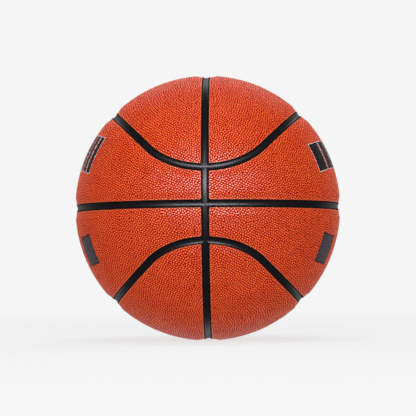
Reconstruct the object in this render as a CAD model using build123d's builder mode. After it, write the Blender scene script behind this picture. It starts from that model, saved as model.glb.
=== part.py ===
"""Size 7 basketball of the wound and laminated kind, in millimetres and degrees.

The origin is the centre of the ball, +X is to the right, +Y away from the viewer and +Z up.
One seam runs round the equator, one round the meridian that faces the viewer, and two closed loops
circle the top and the bottom. A loop is four arcs that meet tangent: a great-circle arc on each
side and a small-circle arc at the front and at the back.
"""

import os
from math import acos, asin, atan2, cos, degrees, radians, sin, sqrt

from build123d import *

os.makedirs("parts", exist_ok=True)

# Layers, from the outside in
ball_diameter = 242.0
cover_thickness = 1.6
backing_thickness = 1.2
carcass_thickness = 0.8
winding_thickness = 0.6
bladder_thickness = 0.8

# Seams: a hollow-topped rib of the carcass between two panels with rolled edges
rib_width = 6.4
rib_edge_drop = 1.25
rib_lip = 0.35
rib_hollow = 0.9
shoulder_reach = 10.0
lip_rise = 1.0347

# Loop seams: how far the side arcs lean from the top, and where the front arc crosses the meridian
side_arc_lean = 45.0
front_arc_height = 15.25

# Place of the valve on the ball, from straight down towards the right and then towards the viewer
valve_lean = 34.7
valve_forward = 4.5

# Valve housing, a flanged rubber sleeve bonded to the inside of the bladder
neck_diameter = 8.4
neck_recess = 0.4
flange_diameter = 32.0
flange_thickness = 1.2
flange_bond = 0.1
boss_diameter = 13.0
boss_length = 14.0

# Valve plug, a self-sealing rubber stopper with a barb behind the housing
plug_diameter = 4.6
plug_head_diameter = 6.2
plug_head_height = 1.4
plug_barb_diameter = 6.6
plug_barb_length = 3.0
plug_nose_diameter = 3.0
needle_hole_diameter = 2.0
needle_hole_depth = 14.0
needle_mouth_diameter = 2.8
needle_mouth_depth = 0.5

# How far cutting tools reach past the faces that they cut
tool_margin = 6.0
hollow_overcut = 0.12

# Radii of the faces where one layer lies on the next
cover_radius = ball_diameter / 2
backing_radius = cover_radius - cover_thickness
carcass_radius = backing_radius - backing_thickness
winding_radius = carcass_radius - carcass_thickness
bladder_radius = winding_radius - winding_thickness
air_radius = bladder_radius - bladder_thickness

# Radii in the section of a seam: the lips of a rib, the floor of its hollow and the ends of the tools
rib_half = rib_width / 2
lip_radius = cover_radius - rib_edge_drop
floor_radius = lip_radius - rib_hollow
tool_foot = (carcass_radius + winding_radius) / 2
tool_top = cover_radius + tool_margin

# Directions that the upper loop passes through, and the axes that its arcs turn about
lean = radians(side_arc_lean)
crossing = radians(front_arc_height)
front_tilt = atan2(sin(crossing), cos(crossing) - cos(lean))
front_axis = Vector(0, -cos(front_tilt), sin(front_tilt))
side_axis = Vector(-sin(lean), 0, cos(lean))
front_low = Vector(0, -cos(crossing), sin(crossing))
side_top = Vector(sin(lean), 0, cos(lean))
join_right = (front_axis - side_axis * front_axis.dot(side_axis)).normalized()


def turn_about(axis, start, end):
    """The angle from start to end, both seen along the axis, in degrees."""
    from_start = start - axis * start.dot(axis)
    to_end = end - axis * end.dot(axis)
    return degrees(acos(from_start.dot(to_end) / (from_start.length * to_end.length)))


def flipped(vector, x, y, z):
    """The vector with its parts multiplied by signs, which mirrors it in the planes of the seams."""
    return Vector(vector.X * x, vector.Y * y, vector.Z * z)


def seam_plane(axis, start):
    """The plane of a seam's section: local Y points out from the centre and local X across the seam."""
    across = (axis - start * axis.dot(start)).normalized()
    return Plane(origin=(0, 0, 0), x_dir=across, z_dir=across.cross(start))


def height_on(radius, off_axis):
    """How far out a sphere's face lies along an axis, at a distance off that axis."""
    return sqrt(radius**2 - off_axis**2)


# Every seam as the axis it turns about, the direction where it starts and its angle
side_sweep = 2 * turn_about(side_axis, join_right, side_top)
front_sweep = 2 * turn_about(front_axis, join_right, front_low)
seam_arcs = [
    (Vector(0, 0, 1), Vector(0, -1, 0), 360.0),
    (Vector(1, 0, 0), Vector(0, -1, 0), 360.0),
]
for up in (1, -1):
    for across in (1, -1):
        # One mirror turns an arc the other way, so it starts from its other end
        side_start = flipped(join_right, across, up * across, up)
        front_start = flipped(join_right, -up * across, across, up)
        seam_arcs.append((flipped(side_axis, across, 1, up), side_start, side_sweep))
        seam_arcs.append((flipped(front_axis, 1, across, up), front_start, front_sweep))

# Bands as wide as a rib, which part the sockets of the panels from each other
rib_bands = []
for axis, start, sweep in seam_arcs:
    with BuildPart() as rib_band:
        with BuildSketch(seam_plane(axis, start)):
            with Locations((0, (tool_foot + tool_top) / 2)):
                Rectangle(rib_width, tool_top - tool_foot)
        revolve(axis=Axis((0, 0, 0), axis), revolution_arc=sweep)
    rib_bands.append(rib_band.part)

# Round tools for the hollow in the top of a rib, between its two lips
hollow_half = rib_half - rib_lip
hollow_depth = height_on(lip_radius, hollow_half) - floor_radius + hollow_overcut
hollow_radius = (hollow_half**2 + hollow_depth**2) / (2 * hollow_depth)
hollow_tools = []
for axis, start, sweep in seam_arcs:
    with BuildPart() as hollow_tool:
        with BuildSketch(seam_plane(axis, start)):
            with Locations((0, floor_radius - hollow_overcut + hollow_radius)):
                Circle(hollow_radius)
        revolve(axis=Axis((0, 0, 0), axis), revolution_arc=sweep)
    hollow_tools.append(hollow_tool.part)

# Channels between the panels, flared from the lips of the ribs to where the panel edges start to roll
reach = shoulder_reach / cover_radius
edge_point = Vector(rib_half, height_on(lip_radius, rib_half))
crown_point = Vector(cover_radius * sin(reach), cover_radius * cos(reach))

# A shoulder is one arc that rises from the lip, so its break at the crown follows from its chord
lip_slope = radians(lip_rise) - asin(rib_half / lip_radius)
chord = crown_point - edge_point
shoulder_break = reach + 2 * atan2(chord.Y, chord.X) - lip_slope
roll_start = reach - shoulder_break
channels = []
for axis, start, sweep in seam_arcs:
    with BuildPart() as channel:
        with BuildSketch(seam_plane(axis, start)):
            with BuildLine():
                Polyline((0, tool_foot), (rib_half, tool_foot), edge_point)
                TangentArc(crown_point, edge_point, tangent=(-cos(roll_start), sin(roll_start)))
                Polyline(crown_point, (crown_point.X, tool_top), (0, tool_top))
                mirror(about=Plane.YZ)
            make_face()
        revolve(axis=Axis((0, 0, 0), axis), revolution_arc=sweep)
    channels.append(channel.part)

# Valve axis, the plane across it at the centre of the ball and the plane of its section
valve_axis = Vector(
    sin(radians(valve_lean)) * cos(radians(valve_forward)),
    -sin(radians(valve_forward)),
    -cos(radians(valve_lean)) * cos(radians(valve_forward)),
)
valve_across = Vector(0, 1, 0).cross(valve_axis).normalized()
valve_plane = Plane(origin=(0, 0, 0), x_dir=valve_across, z_dir=valve_axis)
valve_section = Plane(
    origin=(0, 0, 0), x_dir=valve_across, z_dir=valve_across.cross(valve_axis)
)

# Clear way for the valve neck through every layer
with BuildPart() as neck_way:
    with BuildSketch(valve_plane.offset(air_radius - tool_margin)):
        Circle(neck_diameter / 2)
    extrude(amount=tool_top - air_radius + tool_margin)

# Spheres are turned so that their poles and the edge where each closes on itself lie in the seams
seam_turn = (90, 0, 0)

# Butyl bladder
with BuildPart() as bladder:
    Sphere(bladder_radius, rotation=seam_turn)
    Sphere(air_radius, rotation=seam_turn, mode=Mode.SUBTRACT)
    add(neck_way.part, mode=Mode.SUBTRACT)
bladder.part.label = "bladder"
export_step(bladder.part, "parts/bladder.step")

# Layer of nylon thread wound on the bladder
with BuildPart() as nylon_winding:
    Sphere(winding_radius, rotation=seam_turn)
    Sphere(bladder_radius, rotation=seam_turn, mode=Mode.SUBTRACT)
    add(neck_way.part, mode=Mode.SUBTRACT)
nylon_winding.part.label = "nylon_winding"
export_step(nylon_winding.part, "parts/nylon_winding.step")

# Sockets for the panels, which leave the ribs standing when they are cut from the carcass
with BuildPart() as sockets:
    Sphere(cover_radius, rotation=seam_turn)
    Sphere(carcass_radius, rotation=seam_turn, mode=Mode.SUBTRACT)
    for rib_band in rib_bands:
        add(rib_band, mode=Mode.SUBTRACT)

# Blocks between the hollows, and the net of hollows that is left of a thin shell without them
with BuildPart() as hollow_blocks:
    Sphere(cover_radius, rotation=seam_turn)
    Sphere(floor_radius - hollow_overcut / 2, rotation=seam_turn, mode=Mode.SUBTRACT)
    for hollow_tool in hollow_tools:
        add(hollow_tool, mode=Mode.SUBTRACT)
with BuildPart() as hollow_net:
    Sphere(cover_radius - hollow_overcut, rotation=seam_turn)
    Sphere(floor_radius, rotation=seam_turn, mode=Mode.SUBTRACT)
    add(hollow_blocks.part, mode=Mode.SUBTRACT)

# Rubber carcass with the seam ribs moulded on it
with BuildPart() as carcass:
    Sphere(lip_radius, rotation=seam_turn)
    add(sockets.part, mode=Mode.SUBTRACT)
    add(hollow_net.part, mode=Mode.SUBTRACT)
    Sphere(winding_radius, rotation=seam_turn, mode=Mode.SUBTRACT)
    add(neck_way.part, mode=Mode.SUBTRACT)
carcass.part.label = "carcass"
export_step(carcass.part, "parts/carcass.step")

# Sponge backings, one solid in the foot of each socket
with BuildPart() as backing_layer:
    Sphere(backing_radius, rotation=seam_turn)
    Sphere(carcass_radius, rotation=seam_turn, mode=Mode.SUBTRACT)
    for channel in channels:
        add(channel, mode=Mode.SUBTRACT)
    add(neck_way.part, mode=Mode.SUBTRACT)

# Composite covers with rolled edges, one solid on each backing
with BuildPart() as cover_layer:
    Sphere(cover_radius, rotation=seam_turn)
    Sphere(backing_radius, rotation=seam_turn, mode=Mode.SUBTRACT)
    for channel in channels:
        add(channel, mode=Mode.SUBTRACT)
    add(neck_way.part, mode=Mode.SUBTRACT)


def panel_towards(layer, aim):
    """The solid of a layer whose centre lies nearest to a direction from the centre of the ball."""
    return layer.solids().sort_by(lambda solid: -solid.center().normalized().dot(aim))[0]


# Caps lie inside the loops, and sides between a loop and the equator
panel_leans = {"cap": lean / 2, "side": (lean + radians(90)) / 2}
for kind, panel_lean in panel_leans.items():
    for half, up in (("upper", 1), ("lower", -1)):
        for hand, right in (("left", -1), ("right", 1)):
            aim = Vector(right * sin(panel_lean), 0, up * cos(panel_lean))
            with BuildPart() as backing:
                add(panel_towards(backing_layer, aim))
            backing.part.label = f"{kind}_backing_{half}_{hand}"
            export_step(backing.part, f"parts/{backing.part.label}.step")
            with BuildPart() as cover:
                add(panel_towards(cover_layer, aim))
            cover.part.label = f"{kind}_panel_{half}_{hand}"
            export_step(cover.part, f"parts/{cover.part.label}.step")

# Heights along the valve axis where the plug, the housing and the bladder seat on each other
neck_half = neck_diameter / 2
flange_half = flange_diameter / 2
boss_half = boss_diameter / 2
plug_half = plug_diameter / 2
head_half = plug_head_diameter / 2
needle_half = needle_hole_diameter / 2
valve_top = height_on(cover_radius, neck_half) - neck_recess
head_seat = valve_top - plug_head_height
boss_end = air_radius - boss_length
flange_radius = air_radius - flange_bond
boss_root = height_on(flange_radius - flange_thickness, boss_half)
neck_root = (neck_half, height_on(flange_radius, neck_half))
flange_middle = ((neck_half + flange_half) / 2, height_on(flange_radius, (neck_half + flange_half) / 2))
flange_rim = (flange_half, height_on(flange_radius, flange_half))

# Valve housing: neck through the layers, flange against the bladder and boss into the air space
with BuildPart() as valve_housing:
    with BuildSketch(valve_section):
        with BuildLine():
            Polyline(
                flange_rim,
                (boss_half, boss_root),
                (boss_half, boss_end),
                (plug_half, boss_end),
                (plug_half, head_seat),
                (head_half, head_seat),
                (head_half, valve_top),
                (neck_half, valve_top),
                neck_root,
            )
            ThreePointArc(neck_root, flange_middle, flange_rim)
        make_face()
    revolve(axis=Axis((0, 0, 0), valve_axis))
valve_housing.part.label = "valve_housing"
export_step(valve_housing.part, "parts/valve_housing.step")

# Valve plug: head in its seat, shank through the housing and barb behind the boss
with BuildPart() as valve_plug:
    with BuildSketch(valve_section):
        with BuildLine():
            Polyline(
                (0, boss_end - plug_barb_length),
                (plug_nose_diameter / 2, boss_end - plug_barb_length),
                (plug_barb_diameter / 2, boss_end),
                (plug_half, boss_end),
                (plug_half, head_seat),
                (head_half, head_seat),
                (head_half, valve_top),
                (needle_mouth_diameter / 2, valve_top),
                (needle_half, valve_top - needle_mouth_depth),
                (needle_half, valve_top - needle_hole_depth),
                (0, valve_top - needle_hole_depth),
                close=True,
            )
        make_face()
    revolve(axis=Axis((0, 0, 0), valve_axis))
valve_plug.part.label = "valve_plug"
export_step(valve_plug.part, "parts/valve_plug.step")
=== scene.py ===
"""Looks of a size 7 basketball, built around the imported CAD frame.

Lengths are metres in the shared frame: the origin is the centre of the ball, +X is to the right of the
photograph, +Y away from the viewer and +Z up. Eight pebbled cover panels and a black carcass with hollow
ribs are worked out as surfaces over the unit sphere. The layers inside and the valve stay CAD nodes.
"""

from __future__ import annotations

import logging
import math
from dataclasses import dataclass, field, replace
from enum import Enum
from typing import Iterator

import bmesh
import bpy
import numpy as np
from mathutils import Matrix, Vector

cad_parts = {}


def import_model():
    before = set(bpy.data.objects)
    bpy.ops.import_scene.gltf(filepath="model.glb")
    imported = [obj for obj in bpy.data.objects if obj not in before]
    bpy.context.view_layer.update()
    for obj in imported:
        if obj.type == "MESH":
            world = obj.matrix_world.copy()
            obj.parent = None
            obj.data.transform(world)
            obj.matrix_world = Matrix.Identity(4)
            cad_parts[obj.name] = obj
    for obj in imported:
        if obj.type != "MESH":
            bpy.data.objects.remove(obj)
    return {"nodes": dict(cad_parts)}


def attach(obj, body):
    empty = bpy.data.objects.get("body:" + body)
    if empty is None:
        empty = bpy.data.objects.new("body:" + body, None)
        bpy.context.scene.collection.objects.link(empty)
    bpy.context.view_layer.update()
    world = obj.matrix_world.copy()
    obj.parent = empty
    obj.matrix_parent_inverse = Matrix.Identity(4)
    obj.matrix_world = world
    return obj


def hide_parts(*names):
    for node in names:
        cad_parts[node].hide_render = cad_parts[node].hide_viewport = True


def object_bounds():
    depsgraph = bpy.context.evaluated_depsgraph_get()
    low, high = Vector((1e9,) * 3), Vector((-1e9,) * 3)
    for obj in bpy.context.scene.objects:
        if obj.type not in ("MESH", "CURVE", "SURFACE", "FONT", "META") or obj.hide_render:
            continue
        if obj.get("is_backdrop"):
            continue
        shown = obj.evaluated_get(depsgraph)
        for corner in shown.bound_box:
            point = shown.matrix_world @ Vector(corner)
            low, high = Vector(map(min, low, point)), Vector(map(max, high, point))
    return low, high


LOG = logging.getLogger("basketball")
MM = 0.001
BODY = "root"
PEBBLE_ATTRIBUTE = "pebble"
# Painted shade on the panels' rolled edges next to the ribs and on the valve's cut, as a share from 0 to 1
EDGE_SHADE_ATTRIBUTE = "dark_edge"
HOLLOW_ATTRIBUTE = "rib_hollow"
BAKE_MAP = "OFBake"
VALVE_PANEL = "cap_panel_lower_right"
MERGE_REACH = 0.001 * MM
LEAST_GAP = 1.0e-9
FAR_AWAY = 1.0e3

# Ink runs by this share of the ball's radius, and noise mostly stays within this range
INK_BLEED = 0.0012
NOISE_RANGE = (0.3, 0.7)
BLOTCH_DETAIL = 3.0
GRAIN_DETAIL = 2.0

SRGB_KNEE = 0.04045
SRGB_SLOPE = 12.92
SRGB_SHIFT = 0.055
SRGB_POWER = 2.4

# Layout of a node tree, and the places of a Mix node's factor, two colours and result
NODE_SPACING = 220
MIX_INPUTS = (0, 6, 7)
MIX_RESULT = 2

Color = tuple[float, float, float, float]
Array = np.ndarray
Piece = bpy.types.Object
Material = bpy.types.Material
Tree = bpy.types.NodeTree
Socket = bpy.types.NodeSocket

RIGHT = np.array((1.0, 0.0, 0.0))
FRONT = np.array((0.0, -1.0, 0.0))
UP = np.array((0.0, 0.0, 1.0))
TO_BACK = np.array((1.0, -1.0, 1.0))


class Half(Enum):
    """The half of the ball above or below the equator, as the sign of z."""

    UPPER = 1
    LOWER = -1


class Hand(Enum):
    """The side of the meridian, as the sign of x."""

    LEFT = -1
    RIGHT = 1


class PanelKind(Enum):
    """A cap lies inside a loop seam, and a side between a loop and the equator."""

    CAP = "cap"
    SIDE = "side"


@dataclass(frozen=True)
class BallSizes:
    """The driving sizes, which repeat those of the CAD source."""

    radius: float = 121.0 * MM
    cover_thickness: float = 1.6 * MM
    backing_thickness: float = 1.2 * MM
    carcass_thickness: float = 0.8 * MM
    rib_width: float = 6.4 * MM
    rib_edge_drop: float = 1.25 * MM
    rib_lip: float = 0.35 * MM
    rib_hollow: float = 0.9 * MM
    shoulder_reach: float = 10.0 * MM
    side_lean: float = math.radians(45.0)
    front_height: float = math.radians(15.25)
    valve_lean: float = math.radians(34.7)
    valve_forward: float = math.radians(4.5)
    neck_diameter: float = 8.4 * MM

    @property
    def backing_radius(self) -> float:
        """Radius of the face between the covers and their backings."""
        return self.radius - self.cover_thickness

    @property
    def carcass_radius(self) -> float:
        """Radius of the sockets that the backings lie in."""
        return self.backing_radius - self.backing_thickness

    @property
    def winding_radius(self) -> float:
        """Radius of the carcass's inner face."""
        return self.carcass_radius - self.carcass_thickness

    @property
    def lip_radius(self) -> float:
        """Radius of the lips of a rib."""
        return self.radius - self.rib_edge_drop

    @property
    def rib_half(self) -> float:
        """Half the width of a rib."""
        return self.rib_width / 2

    @property
    def rib_angle(self) -> float:
        """Half the width of a rib as an angle at the centre of the ball."""
        return math.asin(self.rib_half / self.radius)

    @property
    def valve_axis(self) -> Array:
        """Direction of the valve: from straight down, leant to the right and then forward.

        Returns:
            Unit vector from the centre of the ball.
        """
        right, down = math.sin(self.valve_lean), math.cos(self.valve_lean)
        reach = math.cos(self.valve_forward)
        return np.array((right * reach, -math.sin(self.valve_forward), -down * reach))


def onto_sphere(points: Array) -> Array:
    """Points pushed out to distance 1 from the centre, each divided by its own length."""
    return points / np.linalg.norm(points, axis=-1, keepdims=True)


def soft_minimum(first: Array, second: Array, reach: float) -> Array:
    """The smaller of two arrays, rounded off where they are within `reach` of each other.

    The plain minimum is lowered by a quarter of `reach` times the square of how close the two are.
    """
    closeness = np.clip(1.0 - np.abs(first - second) / reach, 0.0, 1.0)
    return np.minimum(first, second) - closeness**2 * reach / 4


def smooth_step(low: float, high: float, values: Array) -> Array:
    """Rise from 0 at `low` to 1 at `high` along the curve 3t² - 2t³."""
    share = np.clip((values - low) / (high - low), 0.0, 1.0)
    return share * share * (3.0 - 2.0 * share)


class SeamNet:
    """Where the seams run on a sphere of radius 1.

    The equator lies in z = 0 and the meridian in x = 0. In the octant at the upper right front, the loop is
    a small circle about `front_axis` that runs into a great circle about `side_axis`. The other octants
    are mirror images.
    """

    def __init__(self, sizes: BallSizes) -> None:
        """Lay out the loop: the axes of its two arcs, where they meet tangent, and their turns to there.

        The turn of the front arc starts at the meridian, and that of the side arc straight ahead.

        Args:
            sizes: The ball's sizes.
        """
        self.sizes = sizes
        height, lean = sizes.front_height, sizes.side_lean
        self.front_tilt = tilt = math.atan2(math.sin(height), math.cos(height) - math.cos(lean))
        self.front_spread = tilt - height
        self.front_axis = np.array((0.0, -math.cos(tilt), math.sin(tilt)))
        self.front_down = np.array((0.0, -math.sin(tilt), -math.cos(tilt)))
        self.side_axis = np.array((math.sin(lean), 0.0, -math.cos(lean)))
        self.side_rise = np.array((math.cos(lean), 0.0, math.sin(lean)))
        join = onto_sphere(self.front_axis - self.side_axis * (self.front_axis @ self.side_axis))
        self.front_turn = math.atan2(join @ RIGHT, join @ self.front_down)
        self.side_turn = math.atan2(join @ self.side_rise, join @ FRONT)

    def loop_line(self, along: Array, offset: Array) -> Array:
        """Points on lines beside the right half of the upper loop.

        A line starts at the meridian's rib at the front, follows a circle about the front axis and then one
        about the side axis, and returns to the rib at the back as its own mirror image.

        Args:
            along: Share of the line's length, from 0 at the front to 1 at the back.
            offset: Angle from the loop, positive towards the equator.

        Returns:
            Unit vectors, with the broadcast shape of the two arguments.
        """
        along, offset = np.broadcast_arrays(along, offset)
        spread = self.front_spread + offset
        start = np.arcsin(math.sin(self.sizes.rib_angle) / np.sin(spread))
        front_length = np.sin(spread) * (self.front_turn - start)
        side_length = np.cos(offset) * (math.pi / 2 - self.side_turn)
        travelled = 2 * np.minimum(along, 1 - along) * (front_length + side_length)
        front_angle = (start + travelled / np.sin(spread))[..., None]
        side_angle = (self.side_turn + (travelled - front_length) / np.cos(offset))[..., None]
        spread = spread[..., None]
        beside = offset[..., None]
        round_front = np.cos(front_angle) * self.front_down + np.sin(front_angle) * RIGHT
        round_side = np.cos(side_angle) * FRONT + np.sin(side_angle) * self.side_rise
        front = np.cos(spread) * self.front_axis + np.sin(spread) * round_front
        side = np.sin(beside) * self.side_axis + np.cos(beside) * round_side
        points = np.where((travelled < front_length)[..., None], front, side)
        return np.where((along > 0.5)[..., None], points * TO_BACK, points)

    def equator_line(self, along: Array, offset: Array) -> Array:
        """Points on circles beside the right half of the equator, between the meridian's ribs.

        Args:
            along: Share of the angle from the front rib, 0, to the back one, 1.
            offset: Angle above the equator.

        Returns:
            Unit vectors, with the broadcast shape of the two arguments.
        """
        along, offset = np.broadcast_arrays(along, offset)
        start = np.arcsin(math.sin(self.sizes.rib_angle) / np.cos(offset))
        turn = start + along * (math.pi - 2 * start)
        level = np.cos(offset)
        return np.stack((level * np.sin(turn), -level * np.cos(turn), np.sin(offset)), axis=-1)

    @staticmethod
    def meridian_point(turn: Array, offset: Array) -> Array:
        """Points on circles beside the meridian.

        Args:
            turn: Angle round the meridian, up from the front.
            offset: Angle to the right of the meridian.

        Returns:
            Unit vectors, with the broadcast shape of the two arguments.
        """
        turn, offset = np.broadcast_arrays(turn, offset)
        level = np.cos(offset)
        return np.stack((np.sin(offset), -level * np.cos(turn), level * np.sin(turn)), axis=-1)

    def equator_crossing(self, offset: Array) -> Array:
        """Meridian angles where lines beside the equator reach the edge of the meridian's rib."""
        return np.arcsin(np.sin(offset) / math.cos(self.sizes.rib_angle))

    def loop_crossing(self, offset: Array) -> Array:
        """Meridian angles where lines beside the loop reach the edge of the meridian's rib."""
        share = np.cos(self.front_spread + offset) / math.cos(self.sizes.rib_angle)
        return self.front_tilt - np.arccos(share)

    def cap_grid(self, rows: int, cols: int) -> Array:
        """Grid over the upper right cap, from the meridian's rib straight across to the loop's.

        A row joins the points at the same share of both edges, so the first and the last row are one point.

        Args:
            rows: Steps along the panel.
            cols: Steps across it.

        Returns:
            Unit vectors, in rows along the panel.
        """
        along = np.linspace(0.0, 1.0, rows + 1)
        across = np.linspace(0.0, 1.0, cols + 1)[None, :, None]
        corner = float(self.loop_crossing(-self.sizes.rib_angle))
        meridian_edge = self.meridian_point(corner + along * (math.pi - 2 * corner), self.sizes.rib_angle)
        loop_edge = self.loop_line(along, -self.sizes.rib_angle)
        return onto_sphere(meridian_edge[:, None] * (1 - across) + loop_edge[:, None] * across)

    def side_grid(self, rows: int, cols: int) -> Array:
        """Grid over the upper right side panel, from the equator's rib straight up to the loop's.

        The first and the last row are moved onto the edges of the meridian's rib, and the rows between them
        are moved by their share of that.

        Args:
            rows: Steps along the panel.
            cols: Steps across it.

        Returns:
            Unit vectors, in rows along the panel.
        """
        along = np.linspace(0.0, 1.0, rows + 1)
        across = np.linspace(0.0, 1.0, cols + 1)
        edge = self.sizes.rib_angle
        share = across[None, :, None]
        plain = self.equator_line(along, edge)[:, None] * (1 - share)
        plain = onto_sphere(plain + self.loop_line(along, edge)[:, None] * share)
        low = float(self.equator_crossing(edge))
        high = float(self.loop_crossing(edge))
        front_end = self.meridian_point(low + across * (high - low), edge)
        back_end = front_end * TO_BACK
        weight = along[:, None, None]
        moved = plain + (front_end - plain[0]) * (1 - weight) + (back_end - plain[-1]) * weight
        return onto_sphere(moved)

    def distances(self, points: Array) -> tuple[Array, Array, Array]:
        """How far points on the sphere lie from the seams, in metres at the ball's face.

        A distance is the radius times the sine of the angle to the seam. The points are folded into the
        octant of the loop's arcs first.

        Args:
            points: Unit vectors.

        Returns:
            Distances to the equator, the meridian and the nearer loop.
        """
        folded = np.abs(points) * (RIGHT + FRONT + UP)
        before_join = folded @ np.cross(self.side_axis, self.front_axis) > 0
        to_front = np.arccos(np.clip(folded @ self.front_axis, -1.0, 1.0)) - self.front_spread
        to_side = np.arcsin(np.clip(folded @ self.side_axis, -1.0, 1.0))
        to_loop = np.abs(np.sin(np.where(before_join, to_front, to_side)))
        radius = self.sizes.radius
        return radius * folded[..., 2], radius * folded[..., 0], radius * to_loop


class SiteGrid:
    """Sites in space, sorted into cubes so that those near any point are found as whole arrays."""

    def __init__(self, sites: Array, cube: float) -> None:
        """Sort the sites.

        Args:
            sites: Positions, one row each.
            cube: Edge of a cube, which is also how far the search is sure to reach.
        """
        self.sites = np.concatenate((sites, np.full((1, 3), FAR_AWAY)))
        self.cube = cube
        self.low = sites.min(axis=0) - 2 * cube
        places = self._place(sites)
        self.shape = tuple(places.max(axis=0) + 3)
        flat = np.ravel_multi_index(places.T, self.shape)
        order = np.argsort(flat, kind="stable")
        ordered = flat[order]
        rank = np.arange(len(order)) - np.searchsorted(ordered, ordered)
        self.table = np.full((math.prod(self.shape), rank.max() + 1), len(sites), np.int32)
        self.table[ordered, rank] = order

    def _place(self, points: Array) -> Array:
        """Whole-number place of the cube that each point is in."""
        return np.floor((points - self.low) / self.cube).astype(np.int64)

    def near(self, points: Array) -> Iterator[Array]:
        """Candidate sites for every point, one array of site numbers at a time.

        Args:
            points: Positions, one row each.

        Yields:
            A site number for each point, from one slot of one of the 27 cubes round it. An empty slot gives
            the site that is far away.
        """
        places = self._place(points)
        for step in np.ndindex(3, 3, 3):
            flat = np.ravel_multi_index((places + np.array(step) - 1).T, self.shape, mode="clip")
            for slot in range(self.table.shape[1]):
                yield self.table[flat, slot]


@dataclass
class PebbleSkin:
    """Random close-packed pebbles over the whole ball, so that no two panels have the same ones."""

    radius: float
    pitch: float = 2.4 * MM
    depth: float = 0.38 * MM
    valley: float = 0.8
    crown_power: float = 3.0
    jitter: float = 0.22
    settle_steps: int = 10
    settle_share: float = 1 / 3
    settle_reach: float = 1.1
    search_reach: float = 1.3
    least_vigour: float = 0.9
    seed: int = 7
    grid: SiteGrid = field(init=False)
    vigour: Array = field(init=False)

    def __post_init__(self) -> None:
        """Scatter the pebbles and let them settle."""
        chance = np.random.default_rng(self.seed)
        count = int(4 * math.pi * self.radius**2 / (self.pitch**2 * math.sqrt(3) / 2))
        sites = self._spiral(count)
        sites = self.radius * onto_sphere(sites + chance.normal(0, self.jitter * self.pitch, (count, 3)))
        for _ in range(self.settle_steps):
            sites = self._settled(sites)
        self.grid = SiteGrid(sites, self.search_reach * self.pitch)
        self.vigour = np.append(chance.uniform(self.least_vigour, 1.0, count), 0.0)

    def _spiral(self, count: int) -> Array:
        """Spread points evenly on a spiral from pole to pole, turned by the golden angle at each step.

        Args:
            count: How many points.

        Returns:
            Positions on the ball, one row each.
        """
        step = np.arange(count) + 0.5
        height = 1 - 2 * step / count
        turn = step * math.pi * (3 - math.sqrt(5))
        level = np.sqrt(1 - height**2)
        return self.radius * np.stack((level * np.cos(turn), level * np.sin(turn), height), axis=-1)

    def _settled(self, sites: Array) -> Array:
        """Push sites apart: each moves off from those within the pitch by a share of what is missing.

        Args:
            sites: Positions on the ball, one row each.

        Returns:
            The new positions, back on the ball.
        """
        grid = SiteGrid(sites, self.settle_reach * self.pitch)
        push = np.zeros_like(sites)
        for near in grid.near(sites):
            apart = sites - grid.sites[near]
            gap = np.linalg.norm(apart, axis=1)
            missing = np.where(gap > 0, np.clip(self.pitch - gap, 0, None), 0)
            push += apart * (missing / np.maximum(gap, LEAST_GAP))[:, None]
        return self.radius * onto_sphere(sites + push * self.settle_share)

    def relief(self, directions: Array) -> Array:
        """How far points are up the pebbles, from 0 in the valleys to 1 on the tallest crowns.

        A valley runs where the two nearest sites are equally far. From there a pebble rises with the
        difference of the two distances.

        Args:
            directions: Unit vectors in an array of any shape.

        Returns:
            Shares of the way up, in the same shape.
        """
        points = self.radius * directions.reshape(-1, 3)
        first = np.full(len(points), np.inf)
        second = np.full(len(points), np.inf)
        owner = np.zeros(len(points), np.int32)
        for near in self.grid.near(points):
            gap = np.linalg.norm(points - self.grid.sites[near], axis=1)
            owner = np.where(gap < first, near, owner)
            second = np.minimum(second, np.maximum(first, gap))
            first = np.minimum(first, gap)
        rise = np.clip((second - first) / (self.valley * self.pitch), 0, 1) * self.vigour[owner]
        return rise.reshape(directions.shape[:-1])


def linked(name: str, data: bpy.types.ID) -> Piece:
    """Add an object to the scene.

    Args:
        name: Name of the object.
        data: The mesh, lamp or camera that it holds.

    Returns:
        The new object.
    """
    piece = bpy.data.objects.new(name, data)
    bpy.context.scene.collection.objects.link(piece)
    return piece


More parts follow.
